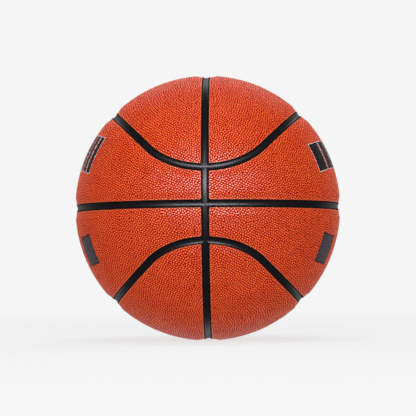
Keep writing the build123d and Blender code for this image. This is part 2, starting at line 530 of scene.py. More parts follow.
class MeshMaker:
    """Collects points and faces as arrays and writes them into one mesh."""

    def __init__(self) -> None:
        """Start with nothing collected."""
        self.points: list[Array] = []
        self.faces: list[Array] = []
        self.maps: list[Array] = []
        self.count = 0

    def add_points(self, points: Array) -> Array:
        """Take in points.

        Args:
            points: Positions, in an array of any shape.

        Returns:
            Their numbers in the mesh, in the same shape.
        """
        flat = points.reshape(-1, 3)
        numbers = np.arange(self.count, self.count + len(flat)).reshape(points.shape[:-1])
        self.points.append(flat)
        self.count += len(flat)
        return numbers

    def add_faces(self, faces: Array, uv: Array | None = None) -> None:
        """Take in faces, as rows of point numbers, with the places of their corners on the map."""
        self.faces.append(faces)
        self.maps.append(np.zeros(faces.shape + (2,)) if uv is None else uv)

    @staticmethod
    def cells(numbers: Array) -> Array:
        """Four-cornered faces between the points of a grid, one row each."""
        corners = (numbers[:-1, :-1], numbers[1:, :-1], numbers[1:, 1:], numbers[:-1, 1:])
        return np.stack(corners, axis=-1).reshape(-1, 4)

    def add_grid(self, points: Array) -> None:
        """Take in a grid of points with faces between them."""
        self.add_faces(self.cells(self.add_points(points)))

    def to_object(self, name: str, mapped: bool = False) -> Piece:
        """Write the mesh.

        Args:
            name: Name of the object and of its mesh.
            mapped: Whether the places of the corners become the map that finishes are baked on.

        Returns:
            The new object, smooth-shaded and linked to the scene.
        """
        points = np.concatenate(self.points)
        sizes = np.concatenate([np.full(len(f), f.shape[1]) for f in self.faces])
        mesh = bpy.data.meshes.new(name)
        mesh.vertices.add(len(points))
        mesh.vertices.foreach_set("co", points.astype(np.float32).ravel())
        mesh.loops.add(int(sizes.sum()))
        mesh.loops.foreach_set("vertex_index", np.concatenate([f.ravel() for f in self.faces]))
        mesh.polygons.add(len(sizes))
        mesh.polygons.foreach_set("loop_start", np.cumsum(sizes) - sizes)
        if mapped:
            uv = np.concatenate([m.reshape(-1, 2) for m in self.maps])
            mesh.uv_layers.new(name=BAKE_MAP).uv.foreach_set("vector", uv.astype(np.float32).ravel())
        mesh.update(calc_edges=True)
        mesh.shade_smooth()
        return linked(name, mesh)


def merge_doubles(piece: Piece, outwards: bool = False) -> None:
    """Merge the points of a mesh that lie on each other.

    Args:
        piece: The piece whose mesh is changed.
        outwards: Whether the faces are turned outwards as well.
    """
    bm = bmesh.new()
    bm.from_mesh(piece.data)
    bmesh.ops.remove_doubles(bm, verts=bm.verts, dist=MERGE_REACH)
    if outwards:
        bmesh.ops.recalc_face_normals(bm, faces=bm.faces)
    bm.to_mesh(piece.data)
    bm.free()


def note_values(piece: Piece, name: str, values: Array) -> None:
    """Note one number on every point of a mesh, as an attribute that a material can read."""
    attribute = piece.data.attributes.new(name, "FLOAT", "POINT")
    attribute.data.foreach_set("value", values.astype(np.float32))


def directions_of(piece: Piece) -> Array:
    """Directions of a mesh's points from the centre of the ball.

    Args:
        piece: The piece that has the mesh.

    Returns:
        Unit vectors, one row each.
    """
    points = np.empty(3 * len(piece.data.vertices), np.float32)
    piece.data.vertices.foreach_get("co", points)
    return onto_sphere(points.reshape(-1, 3))


def turned(profile: Array, axis: Array, steps: int) -> Array:
    """Surface of revolution: each profile point goes round the axis in a circle.

    Args:
        profile: Rows of (distance from the axis, height along it).
        axis: Unit vector from the centre of the ball.
        steps: Steps in a full turn.

    Returns:
        A grid of points, closed on itself along its second side.
    """
    aside = onto_sphere(np.cross(RIGHT, axis))
    ahead = np.cross(axis, aside)
    turn = np.linspace(0.0, 2 * math.pi, steps + 1)[None, :, None]
    circle = np.cos(turn) * aside + np.sin(turn) * ahead
    return profile[:, None, :1] * circle + profile[:, None, 1:] * axis


@dataclass
class ValveWay:
    """The round way that the valve's neck has through the layers."""

    sizes: BallSizes
    clearance: float = 0.05 * MM
    overreach: float = 6.0 * MM
    steps: int = 64
    smooth_ring: float = 3.0 * MM
    # Where the painted shade round the valve's cut fades out, and where it is full, beyond the cut's radius
    rim_shade: tuple[float, float] = (1.2 * MM, 0.15 * MM)

    @property
    def radius(self) -> float:
        """Radius of the way."""
        return self.sizes.neck_diameter / 2 + self.clearance

    def distance(self, directions: Array) -> Array:
        """Distance from the valve's axis at the ball's face, and without end on the far half of the ball."""
        off_axis = np.linalg.norm(np.cross(directions, self.sizes.valve_axis), axis=-1)
        return np.where(directions @ self.sizes.valve_axis > 0, self.sizes.radius * off_axis, np.inf)

    def plainness(self, directions: Array) -> Array:
        """How far the pebbles give way to a smooth ring, from 1 at the way to 0 beyond the ring's width."""
        outer = self.radius + self.smooth_ring
        return smooth_step(outer, outer - self.smooth_ring / 2, self.distance(directions))

    def cut(self, piece: Piece) -> None:
        """Cut the way out of a piece with a round tool, and leave no tool or modifier behind.

        Args:
            piece: The piece that the way goes through.
        """
        low = self.sizes.winding_radius - self.overreach
        high = self.sizes.radius + self.overreach
        profile = np.array(((0, low), (self.radius, low), (self.radius, high), (0, high)))
        maker = MeshMaker()
        maker.add_grid(turned(profile, self.sizes.valve_axis, self.steps))
        tool = maker.to_object("valve_way_tool")
        merge_doubles(tool, outwards=True)
        cutting = piece.modifiers.new("valve_way", "BOOLEAN")
        cutting.object = tool
        cutting.operation = "DIFFERENCE"
        cutting.solver = "EXACT"
        finished = piece.evaluated_get(bpy.context.evaluated_depsgraph_get())
        whole = piece.data
        piece.data = bpy.data.meshes.new_from_object(finished)
        piece.modifiers.clear()
        bpy.data.meshes.remove(whole)
        bpy.data.meshes.remove(tool.data)
        piece.data.name = piece.name

    def finish_rim(self, panel: Piece) -> None:
        """Note on the points round the cut that they have no pebble, and a thin ring of painted shade.

        Args:
            panel: The panel, with its two attributes and the way cut out of it.
        """
        directions = directions_of(panel)
        fade = (self.radius + shade_edge for shade_edge in self.rim_shade)
        # The ring held in ink is painted shade on the wall of the cut and a thin fringe round it
        ink = smooth_step(*fade, self.distance(directions))
        for name, least in ((PEBBLE_ATTRIBUTE, self.plainness(directions)), (EDGE_SHADE_ATTRIBUTE, ink)):
            noted = panel.data.attributes[name].data
            values = np.empty(len(noted), np.float32)
            noted.foreach_get("value", values)
            noted.foreach_set("value", np.maximum(values, least).astype(np.float32))


@dataclass
class CoverPanel:
    """One pebbled cover: a fine outer face, a coarse inner one and a rim between the two."""

    sizes: BallSizes
    net: SeamNet
    skin: PebbleSkin
    valve: ValveWay
    kind: PanelKind
    half: Half
    hand: Hand
    cap_steps: tuple[int, int] = (560, 168)
    side_steps: tuple[int, int] = (624, 152)
    inner_step: int = 8
    corner_round: float = 1.6 * MM
    shoulder_power: float = 1.2
    edge_roll: float = 0.6 * MM
    edge_fall: float = 0.25 * MM
    edge_relief: float = 0.35
    relief_fade: float = 1.6 * MM
    # How far from the rib's edge the painted edge shade reaches
    edge_shade_reach: float = 1.0 * MM
    map_tiles: int = 2
    map_rim: float = 0.035
    map_margin: float = 0.006

    @property
    def name(self) -> str:
        """The CAD node that the panel stands for."""
        return f"{self.kind.value}_panel_{self.half.name.lower()}_{self.hand.name.lower()}"

    @property
    def directions(self) -> Array:
        """Grid over the panel: that of the upper right one, mirrored to where this one is.

        Returns:
            Unit vectors, in rows along the panel.
        """
        if self.kind is PanelKind.CAP:
            grid = self.net.cap_grid(*self.cap_steps)[:, ::-1]
        else:
            grid = self.net.side_grid(*self.side_steps)
        return grid * np.array((self.hand.value, 1, self.half.value))

    def face(self, directions: Array) -> tuple[Array, Array, Array]:
        """Radius of the outer face, the pebbles on it and the painted shade along its edges.

        The crown lies on the ball's sphere. Towards a seam the shoulder falls along a parabola that levels
        out at the rib, with a soft start from a power of the way in, and its end rolls over in a quarter
        circle. The pebbles are sunk into that face by a power of what is missing of their way up, which
        rounds the crowns and keeps the valleys sharp. They fade on the roll and round the valve.

        Args:
            directions: Grid of unit vectors.

        Returns:
            Distances from the centre, shares of the way up a pebble, and how much painted shade darkens the
            seam's edge.
        """
        sizes = self.sizes
        to_equator, to_meridian, to_loop = self.net.distances(directions)
        to_seam = soft_minimum(to_equator, to_meridian, self.corner_round)
        to_seam = soft_minimum(to_seam, to_loop, self.corner_round)
        inwards = np.clip((sizes.shoulder_reach - to_seam) / (sizes.shoulder_reach - sizes.rib_half), 0, 1)
        shoulder = sizes.rib_edge_drop * (1 - (1 - inwards**self.shoulder_power) ** 2)
        into_roll = np.clip(1 - (to_seam - sizes.rib_half) / self.edge_roll, 0, 1)
        roll = self.edge_fall * (1 - np.sqrt(1 - into_roll**2))
        fade = smooth_step(sizes.rib_half, sizes.rib_half + self.relief_fade, to_seam)
        strength = self.edge_relief + (1 - self.edge_relief) * fade
        strength *= 1 - self.valve.plainness(directions)
        pebble = self.skin.relief(directions)
        sunk = self.skin.depth * (1 - pebble) ** self.skin.crown_power * strength
        radius = sizes.radius - shoulder - roll - sunk
        # Painted shade: the colour darkens over the last stretch of the panel, where its rolled edge meets
        # the rib
        dark_edge = smooth_step(sizes.rib_half + self.edge_shade_reach, sizes.rib_half, to_seam)
        return radius, 1 - (1 - pebble) * strength, dark_edge

    def build(self) -> Piece:
        """Make the panel's mesh with its two attributes and its bake map.

        Returns:
            The panel, closed, with the valve's way through the one that it passes.
        """
        directions = self.directions
        radius, pebble, dark_edge = self.face(directions)
        maker = MeshMaker()
        outer = maker.add_points(directions * radius[..., None])
        step = self.inner_step
        inner = maker.add_points(directions[::step, ::step] * self.sizes.backing_radius)
        mirrored = self.hand.value * self.half.value < 0
        order = slice(None, None, -1) if mirrored else slice(None)
        outer_faces = maker.cells(outer)
        maker.add_faces(outer_faces[:, order], self._outer_map(outer.shape)[:, order])
        inner_faces = maker.cells(inner)[:, ::-1]
        maker.add_faces(inner_faces[:, order], self._inner_map(inner.shape)[:, ::-1][:, order])
        rim, rim_map = self._rim(outer, inner)
        maker.add_faces(rim[:, order], rim_map[:, order])
        piece = maker.to_object(self.name, mapped=True)
        plain = np.ones(inner.size)
        for name, values in ((PEBBLE_ATTRIBUTE, pebble), (EDGE_SHADE_ATTRIBUTE, dark_edge)):
            note_values(piece, name, np.concatenate((values.ravel(), plain)))
        merge_doubles(piece)
        if self.name == VALVE_PANEL:
            self.valve.cut(piece)
            self.valve.finish_rim(piece)
        return piece

    @staticmethod
    def _corner_steps(shape: tuple[int, ...]) -> tuple[Array, Array]:
        """Row and column steps at the four corners of every face of a grid, as for MeshMaker.cells."""
        row, col = (step.reshape(-1, 1) for step in np.indices((shape[0] - 1, shape[1] - 1)))
        return row + np.array((0, 1, 1, 0)), col + np.array((0, 0, 1, 1))

    def _inset(self, share: Array) -> Array:
        """A share of the way over one part of the bake map, kept clear of that part's edges."""
        return self.map_margin + (1 - 2 * self.map_margin) * share

    def _outer_map(self, shape: tuple[int, ...]) -> Array:
        """Bake map of the outer face: the panel in four lengths, laid out two by two above the rims.

        Args:
            shape: How many points the face has along and across.

        Returns:
            Places of the four corners of every face.
        """
        row, col = self._corner_steps(shape)
        tiles = self.map_tiles
        length = (shape[0] - 1) // tiles**2
        tile = row[:, :1] // length
        u = (tile % tiles + self._inset(row / length - tile)) / tiles
        v = (tile // tiles + self._inset(col / (shape[1] - 1))) / tiles
        rims = 2 * self.map_rim
        return np.stack((u, rims + (1 - rims) * v), axis=-1)

    def _inner_map(self, shape: tuple[int, ...]) -> Array:
        """Bake map of the inner face, one band under the outer face's tiles.

        Args:
            shape: How many points the face has along and across.

        Returns:
            Places of the four corners of every face.
        """
        row, col = self._corner_steps(shape)
        u = self._inset(row / (shape[0] - 1))
        v = self.map_rim * (1 + self._inset(col / (shape[1] - 1)))
        return np.stack((u, v), axis=-1)

    def _rim(self, outer: Array, inner: Array) -> tuple[Array, Array]:
        """Triangles between the border of the fine outer face and that of the coarse inner one.

        Each step of the inner border takes a fan of outer steps: the first half of them run to its start and
        the second half to its end, and one triangle fills the middle.

        Args:
            outer: Point numbers of the outer grid.
            inner: Point numbers of the inner grid.

        Returns:
            Triangles, and the places of their corners on the bake map.
        """
        step, half = self.inner_step, self.inner_step // 2
        borders = self._border(outer), self._border(inner)
        steps, inner_steps = (np.arange(len(border) - 1) for border in borders)
        foot = len(borders[0])
        fans = np.stack((steps + 1, steps, foot + (steps + half) // step), axis=-1)
        middles = np.stack((inner_steps * step + half, foot + inner_steps, foot + inner_steps + 1), axis=-1)
        corners = np.concatenate((fans, middles))
        u = np.concatenate([np.linspace(0, 1, len(border)) for border in borders])
        v = np.repeat((1, 0), [len(border) for border in borders])
        places = np.stack((self._inset(u), self.map_rim * self._inset(v)), axis=-1)
        return np.concatenate(borders)[corners], places[corners]

    @staticmethod
    def _border(numbers: Array) -> Array:
        """Point numbers round the border of a grid, in the order of its faces' corners and back again."""
        return np.concatenate((numbers[:-1, 0], numbers[-1, :-1], numbers[:0:-1, -1], numbers[0, ::-1]))


@dataclass
class Carcass:
    """The black rubber carcass: hollow ribs along the seams, sockets for the panels and a smooth inside."""

    sizes: BallSizes
    net: SeamNet
    valve: ValveWay
    rows: int = 288
    stub_cols: int = 24
    cap_cols: int = 12
    across: int = 16
    inside_steps: tuple[int, int] = (48, 96)
    name: str = "carcass"

    def hollow(self, directions: Array) -> Array:
        """How far the ribs are hollow, from 0 at the lips to 1 along the middle of a rib.

        A rib's section is a parabola sunk between two flat lips. Where two ribs cross, the lower of the two
        sections holds, so the hollows run into each other.

        Args:
            directions: Unit vectors in an array of any shape.

        Returns:
            Shares of the depth, in the same shape.
        """
        hollow_half = self.sizes.rib_half - self.sizes.rib_lip
        sections = (1 - (off / hollow_half) ** 2 for off in self.net.distances(directions))
        return np.maximum.reduce([np.clip(section, 0, None) for section in sections])

    def rib_radius(self, directions: Array) -> Array:
        """Radius of the tops of the ribs."""
        return self.sizes.lip_radius - self.sizes.rib_hollow * self.hollow(directions)

    def meridian_turns(self, offsets: Array) -> Array:
        """Angles round the meridian where its rib has points.

        They take in every line of the ribs that cross it, so that the ribs meet point on point, and the
        lower half repeats the upper one.

        Args:
            offsets: Angles of a rib's lines from the middle of the rib.

        Returns:
            Angles in rising order, once round from the front.
        """
        edge = self.sizes.rib_angle
        low = self.net.equator_crossing(offsets)
        loop = np.sort(self.net.loop_crossing(offsets))
        stub = np.linspace(self.net.equator_crossing(edge), loop[0], self.stub_cols + 1)[1:-1]
        top = np.linspace(loop[-1], math.pi - loop[-1], self.rows + 1)[1:-1]
        front = np.concatenate((stub, loop))
        upper = np.concatenate((low, front, top, math.pi - front[::-1]))
        return np.concatenate((upper, upper + math.pi, low[:1] + 2 * math.pi))

    def build(self) -> Piece:
        """Make the carcass: ribs, socket walls and socket floors, merged, and then the inside.

        Returns:
            The carcass, closed, with the valve's way through it and its hollow attribute.
        """
        edge = self.sizes.rib_angle
        offsets = np.linspace(-edge, edge, self.across + 1)
        along = np.linspace(0.0, 1.0, self.rows + 1)[:, None]
        maker = MeshMaker()
        self._add_ribs(maker, self.net.meridian_point(self.meridian_turns(offsets)[:, None], offsets))
        for hand in Hand:
            equator = self.net.equator_line(along, offsets)
            self._add_ribs(maker, equator * np.array((hand.value, 1, 1)))
            for half in Half:
                signs = np.array((hand.value, 1, half.value))
                self._add_ribs(maker, self.net.loop_line(along, offsets) * signs)
                cap = self.net.cap_grid(self.rows, self.cap_cols)
                self._add_socket(maker, cap * signs, PanelKind.CAP)
                side = self.net.side_grid(self.rows, self.stub_cols)
                self._add_socket(maker, side * signs, PanelKind.SIDE)
        piece = maker.to_object(self.name)
        merge_doubles(piece, outwards=True)
        self._add_inside(piece)
        self.valve.cut(piece)
        note_values(piece, HOLLOW_ATTRIBUTE, self.hollow(directions_of(piece)))
        return piece

    def _add_ribs(self, maker: MeshMaker, directions: Array) -> None:
        """Add the top of a rib."""
        maker.add_grid(directions * self.rib_radius(directions)[..., None])

    def _add_socket(self, maker: MeshMaker, directions: Array, kind: PanelKind) -> None:
        """Add the floor that a panel's backing lies on, and the walls up to the ribs round it.

        Args:
            maker: Takes in the faces.
            directions: Grid of unit vectors over the panel.
            kind: Kind of the panel, as a cap comes to a point at both ends and has no walls there.
        """
        maker.add_grid(directions * self.sizes.carcass_radius)
        edges = [directions[:, 0], directions[:, -1]]
        if kind is PanelKind.SIDE:
            edges += [directions[0], directions[-1]]
        for edge in edges:
            lip = edge * self.rib_radius(edge)[..., None]
            maker.add_grid(np.stack((lip, edge * self.sizes.carcass_radius)))

    def _add_inside(self, piece: Piece) -> None:
        """Add the inner face, a half circle turned about the poles, which looks at the centre of the ball.

        Args:
            piece: The carcass, without an inside so far.
        """
        rows, steps = self.inside_steps
        height = np.linspace(0, math.pi, rows + 1)
        profile = self.sizes.winding_radius * np.stack((np.sin(height), np.cos(height)), axis=-1)
        maker = MeshMaker()
        maker.add_grid(turned(profile, UP, steps))
        inside = maker.to_object("carcass_inside")
        merge_doubles(inside, outwards=True)
        inside.data.flip_normals()
        bm = bmesh.new()
        bm.from_mesh(piece.data)
        bm.from_mesh(inside.data)
        bm.to_mesh(piece.data)
        bm.free()
        bpy.data.meshes.remove(inside.data)


def from_srgb(red: int, green: int, blue: int) -> Color:
    """Take a colour as a photograph's numbers give it to the linear colour of a shader.

    The sRGB curve is straight up to its knee, and above it a power of the shifted share.

    Args:
        red: Red part, from 0 to 255.
        green: Green part, from 0 to 255.
        blue: Blue part, from 0 to 255.

    Returns:
        The linear colour, opaque.
    """
    share = np.array((red, green, blue)) / 255
    curved = ((share + SRGB_SHIFT) / (1 + SRGB_SHIFT)) ** SRGB_POWER
    linear = np.where(share <= SRGB_KNEE, share / SRGB_SLOPE, curved)
    return (*(float(part) for part in linear), 1.0)


class NodeSheet:
    """A node tree that is being laid out."""

    def __init__(self, tree: Tree) -> None:
        """Take an empty tree."""
        self.tree = tree
        self.columns = 0

    @classmethod
    def of(cls, owner: Material | bpy.types.World) -> NodeSheet:
        """Empty the node tree of a material or a world.

        Args:
            owner: The material or the world.

        Returns:
            A sheet for that tree.
        """
        owner.use_nodes = True
        owner.node_tree.nodes.clear()
        return cls(owner.node_tree)

    def add(self, kind: str, inputs: dict | None = None, **settings: object) -> bpy.types.Node:
        """Add a node.

        Args:
            kind: The node's type, without the word that all shader nodes start with.
            inputs: Values or other nodes' sockets, by the name or the number of the input.
            **settings: Properties of the node itself.

        Returns:
            The new node.
        """
        node = self.tree.nodes.new(kind if kind.startswith("NodeGroup") else f"ShaderNode{kind}")
        self.columns += 1
        node.location = (NODE_SPACING * self.columns, 0)
        for setting, value in settings.items():
            setattr(node, setting, value)
        for key, value in (inputs or {}).items():
            if isinstance(value, Socket):
                self.tree.links.new(value, node.inputs[key])
            else:
                node.inputs[key].default_value = value
        return node

    def math(self, operation: str, *values: object) -> Socket:
        """Add a Math node and return its result."""
        return self.add("Math", dict(enumerate(values)), operation=operation).outputs[0]

    def mix(self, share: object, first: object, second: object, how: str = "MIX") -> Socket:
        """Add a Mix node for two colours, whose sockets go by their places, and return its result."""
        inputs = dict(zip(MIX_INPUTS, (share, first, second)))
        return self.add("Mix", inputs, data_type="RGBA", blend_type=how).outputs[MIX_RESULT]

    def ranged(self, value: object, start: tuple[float, float], end: tuple[float, float]) -> Socket:
        """Add a Map Range node that takes one range of values to another, and return its result."""
        limits = {1: start[0], 2: start[1], 3: end[0], 4: end[1]}
        return self.add("MapRange", {0: value, **limits}).outputs[0]


def empty_group(name: str, inputs: dict[str, str], outputs: tuple[str, ...]) -> Tree:
    """A node group with nothing in it yet.

    Args:
        name: Name of the group.
        inputs: Kinds of the inputs, by their names.
        outputs: Names of the outputs, which are numbers.

    Returns:
        The new group.
    """
    tree = bpy.data.node_groups.new(name, "ShaderNodeTree")
    for socket, kind in inputs.items():
        tree.interface.new_socket(socket, in_out="INPUT", socket_type=f"NodeSocket{kind}")
    for socket in outputs:
        tree.interface.new_socket(socket, in_out="OUTPUT", socket_type="NodeSocketFloat")
    return tree


def grain_group() -> Tree:
    """Shared effect: an uneven tint and a fine grain, both from noise on the piece's own coordinates.

    Returns:
        A node group with the inputs Blotch Scale and Grain Scale, per metre, and outputs Blotch and Grain.
    """
    scales = dict.fromkeys(("Blotch Scale", "Grain Scale"), "Float")
    tree = empty_group("uneven_grain", scales, ("Blotch", "Grain"))
    sheet = NodeSheet(tree)
    given = sheet.add("NodeGroupInput").outputs
    place = sheet.add("TexCoord").outputs["Object"]
    blotch, grain = (
        sheet.add("TexNoise", {"Vector": place, "Scale": given[scale], "Detail": detail})
        for scale, detail in zip(scales, (BLOTCH_DETAIL, GRAIN_DETAIL))
    )
    even = sheet.ranged(blotch.outputs["Fac"], NOISE_RANGE, (0.0, 1.0))
    sheet.add("NodeGroupOutput", {"Blotch": even, "Grain": grain.outputs["Fac"]})
    return tree


def print_group() -> Tree:
    """Shared effect: a row of ink blocks on the ball, as a mask.

    The direction from the centre of the ball is measured along the row and across it. The mask is 1 where
    both measures are within half a side, clear of the gaps at every pitch, on the row's half of the ball.

    Returns:
        A node group with three directions and four lengths, in radii, as inputs, and the output Mask.
    """
    directions = ("Middle", "Across", "Up")
    lengths = ("Half Width", "Half Height", "Half Pitch", "Half Gap")
    inputs = dict.fromkeys(directions, "Vector") | dict.fromkeys(lengths, "Float")
    tree = empty_group("ink_blocks", inputs, ("Mask",))
    sheet = NodeSheet(tree)
    given = sheet.add("NodeGroupInput").outputs
    place = sheet.add("TexCoord").outputs["Object"]
    outwards = sheet.add("VectorMath", {0: place}, operation="NORMALIZE").outputs[0]
    facing, along, above = (
        sheet.add("VectorMath", {0: outwards, 1: given[name]}, operation="DOT_PRODUCT").outputs["Value"]
        for name in directions
    )
    from_gap = sheet.math("PINGPONG", along, given["Half Pitch"])
    mask = sheet.math("GREATER_THAN", facing, 0.0)
    for inside in (
        sheet.math("SUBTRACT", given["Half Width"], sheet.math("ABSOLUTE", along)),
        sheet.math("SUBTRACT", given["Half Height"], sheet.math("ABSOLUTE", above)),
        sheet.math("SUBTRACT", from_gap, given["Half Gap"]),
    ):
        mask = sheet.math("MULTIPLY", mask, sheet.ranged(inside, (-INK_BLEED, INK_BLEED), (0.0, 1.0)))
    sheet.add("NodeGroupOutput", {"Mask": mask})
    return tree


@dataclass(frozen=True)
class InkMark:
    """A plain printed block on the cover, or a row of them where it has a pitch and a gap.

    Angles are in degrees, and the turn lifts the end of larger longitude.
    """

    longitude: float
    latitude: float
    width: float
    height: float
    color: Color
    turn: float = 0.0
    pitch: float = 1.0
    gap: float = -1.0

    def outlined(self, line: float, color: Color) -> tuple[InkMark, InkMark]:
        """The mark on a wider copy of itself, which shows as a line round every block."""
        width, height, gap = self.width + 2 * line, self.height + 2 * line, self.gap - 2 * line
        return replace(self, width=width, height=height, gap=gap, color=color), self

    def mask(self, sheet: NodeSheet, group: Tree, radius: float) -> Socket:
        """Place the ink group in a material for this mark.

        The mark's three directions are the ball's own, turned on the spot, up and then round the ball.

        Args:
            sheet: The material's nodes.
            group: The ink group.
            radius: Radius of the ball.

        Returns:
            The mark's mask.
        """
        place = Matrix.Rotation(math.radians(self.longitude), 3, "Z")
        place = place @ Matrix.Rotation(math.radians(-self.latitude), 3, "X")
        place = place @ Matrix.Rotation(math.radians(-self.turn), 3, "Y")
        lengths = {
            "Half Width": self.width,
            "Half Height": self.height,
            "Half Pitch": self.pitch,
            "Half Gap": self.gap,
        }
        inputs = {name: length / (2 * radius) for name, length in lengths.items()}
        for name, axis in (("Middle", -place.col[1]), ("Across", place.col[0]), ("Up", place.col[2])):
            inputs[name] = tuple(axis)
        return sheet.add("Group", inputs, node_tree=group).outputs["Mask"]


INK_BLACK = from_srgb(14, 12, 16)
INK_GREY = from_srgb(50, 45, 52)
INK_PALE = from_srgb(184, 176, 180)
BLOCK = InkMark(0.0, -18.7, 25.0 * MM, 25.0 * MM, INK_GREY)
ROW_LEFT = InkMark(-90.0, 25.2, 105.0 * MM, 35.0 * MM, INK_BLACK, pitch=10.8 * MM, gap=3.0 * MM)
ROW_RIGHT = InkMark(90.0, 23.4, 119.4 * MM, 26.0 * MM, INK_BLACK, pitch=20.4 * MM, gap=3.0 * MM)
INK_MARKS = (
    *replace(BLOCK, longitude=-67.4, turn=6.5).outlined(1.3 * MM, INK_BLACK),
    *replace(BLOCK, longitude=67.4, turn=-6.5).outlined(1.3 * MM, INK_BLACK),
    *ROW_LEFT.outlined(0.5 * MM, INK_PALE),
    *ROW_RIGHT.outlined(0.5 * MM, INK_PALE),
)


@dataclass(frozen=True)
class Finish:
    """What every finish has: its colours, how rough it is and the scale of its unevenness."""

    name: str
    color: Color
    shade: Color
    roughness: float
    roughness_spread: float = 0.1
    specular: float = 0.5
    blotch_scale: float = 60.0
    grain_scale: float = 2500.0
    grain_depth: float = 0.03 * MM
    relief_range: tuple[float, float] = NOISE_RANGE

    def material(self, group: Tree) -> Material:
        """The finish as a material: its paint, with a bump and a roughness that follow the same relief.

        Args:
            group: The grain group.

        Returns:
            The new material.
        """
        material = bpy.data.materials.new(self.name)
        sheet = NodeSheet.of(material)
        scales = {"Blotch Scale": self.blotch_scale, "Grain Scale": self.grain_scale}
        grain = sheet.add("Group", scales, node_tree=group).outputs
        relief, inputs = self.paint(sheet, grain["Blotch"], grain["Grain"])
        spread = (self.roughness - self.roughness_spread, self.roughness + self.roughness_spread)
        bump = sheet.add("Bump", {"Height": relief, "Strength": 1.0, "Distance": self.grain_depth})
        inputs |= {
            "Roughness": sheet.ranged(relief, self.relief_range, spread),
            "Specular IOR Level": self.specular,
            "Normal": bump.outputs["Normal"],
        }
        shader = sheet.add("BsdfPrincipled", inputs)
        sheet.add("OutputMaterial", {"Surface": shader.outputs["BSDF"]})
        return material

    def paint(self, sheet: NodeSheet, blotch: Socket, grain: Socket) -> tuple[Socket, dict[str, object]]:
        """Lay out what sets this finish apart: here blotches between the two colours, over the plain grain.

        Args:
            sheet: The material's nodes.
            blotch: The shared uneven tint.
            grain: The shared fine grain.

        Returns:
            The relief, and the shader's inputs that don't follow from it.
        """
        return grain, {"Base Color": sheet.mix(blotch, self.shade, self.color)}


@dataclass(frozen=True)
class CompositeFinish(Finish):
    """Pebbled composite: coated crowns, dull valleys in painted shade, ink over both, painted seam shade."""

    radius: float = BallSizes.radius
    # Pebble heights over which the painted valley shade gives way to the crown colour
    slope: tuple[float, float] = (0.2, 0.82)
    # Painted shade: the crown colour is multiplied by this in the valleys between pebbles
    valley: Color = (0.36, 0.012, 0.0, 1.0)
    # Painted shade colour of the rolled edges at the seams and of the valve's cut
    edge: Color = from_srgb(26, 22, 24)
    valley_shine: float = 0.05
    # Share of the coat kept under the painted edge shade
    edge_shine: float = 0.2
    coat_roughness: float = 0.28
    coat_ior: float = 1.65
    sheen: float = 0.07
    sheen_roughness: float = 0.25
    sheen_tint: Color = from_srgb(255, 180, 160)
    marks: tuple[InkMark, ...] = ()

    def paint(self, sheet: NodeSheet, blotch: Socket, grain: Socket) -> tuple[Socket, dict[str, object]]:
        """Lay out crowns, valleys and edges with painted shade from the panel's two attributes, and the
        marks between them.

        Args:
            sheet: The material's nodes.
            blotch: The shared uneven tint.
            grain: The shared fine grain.

        Returns:
            The relief, and the shader's inputs that don't follow from it.
        """
        pebble = sheet.add("Attribute", attribute_name=PEBBLE_ATTRIBUTE).outputs["Fac"]
        crown = sheet.mix(blotch, self.shade, self.color)
        # Painted shade: the valleys take the crown colour times the valley colour, blended in as the pebble
        # height falls
        valley = sheet.mix(1.0, crown, self.valley, how="MULTIPLY")
        lit = sheet.ranged(pebble, self.slope, (0.0, 1.0))
        color = sheet.mix(lit, valley, crown)
        inks = print_group()
        for mark in self.marks:
            color = sheet.mix(mark.mask(sheet, inks, self.radius), color, mark.color)
        # Painted shade along the seams' edges and round the valve's cut, laid over colour and ink, with a
        # duller coat
        edge = sheet.add("Attribute", attribute_name=EDGE_SHADE_ATTRIBUTE).outputs["Fac"]
        shine = sheet.ranged(lit, (0.0, 1.0), (self.valley_shine, 1.0))
        dulled = sheet.ranged(edge, (0.0, 1.0), (1.0, self.edge_shine))
        return grain, {
            "Base Color": sheet.mix(edge, color, self.edge),
            "Coat Weight": sheet.math("MULTIPLY", shine, dulled),
            "Coat Roughness": self.coat_roughness,
            "Coat IOR": self.coat_ior,
            "Sheen Weight": self.sheen,
            "Sheen Roughness": self.sheen_roughness,
            "Sheen Tint": self.sheen_tint,
        }


@dataclass(frozen=True)
class RibFinish(Finish):
    """Seam rubber: dull at the lips of a rib, with a satin shine in its hollow."""

    shine_start: tuple[float, float] = (0.05, 0.5)
    shine: float = 0.4
    coat_roughness: float = 0.33
    coat_ior: float = 2.0

    def paint(self, sheet: NodeSheet, blotch: Socket, grain: Socket) -> tuple[Socket, dict[str, object]]:
        """Add to the plain paint a shine that follows the carcass's hollow attribute.

        Args:
            sheet: The material's nodes.
            blotch: The shared uneven tint.
            grain: The shared fine grain.

        Returns:
            The relief, and the shader's inputs that don't follow from it.
        """
        relief, inputs = super().paint(sheet, blotch, grain)
        hollow = sheet.add("Attribute", attribute_name=HOLLOW_ATTRIBUTE).outputs["Fac"]
        return relief, inputs | {
            "Coat Weight": sheet.ranged(hollow, self.shine_start, (0.0, self.shine)),
            "Coat Roughness": self.coat_roughness,
            "Coat IOR": self.coat_ior,
        }


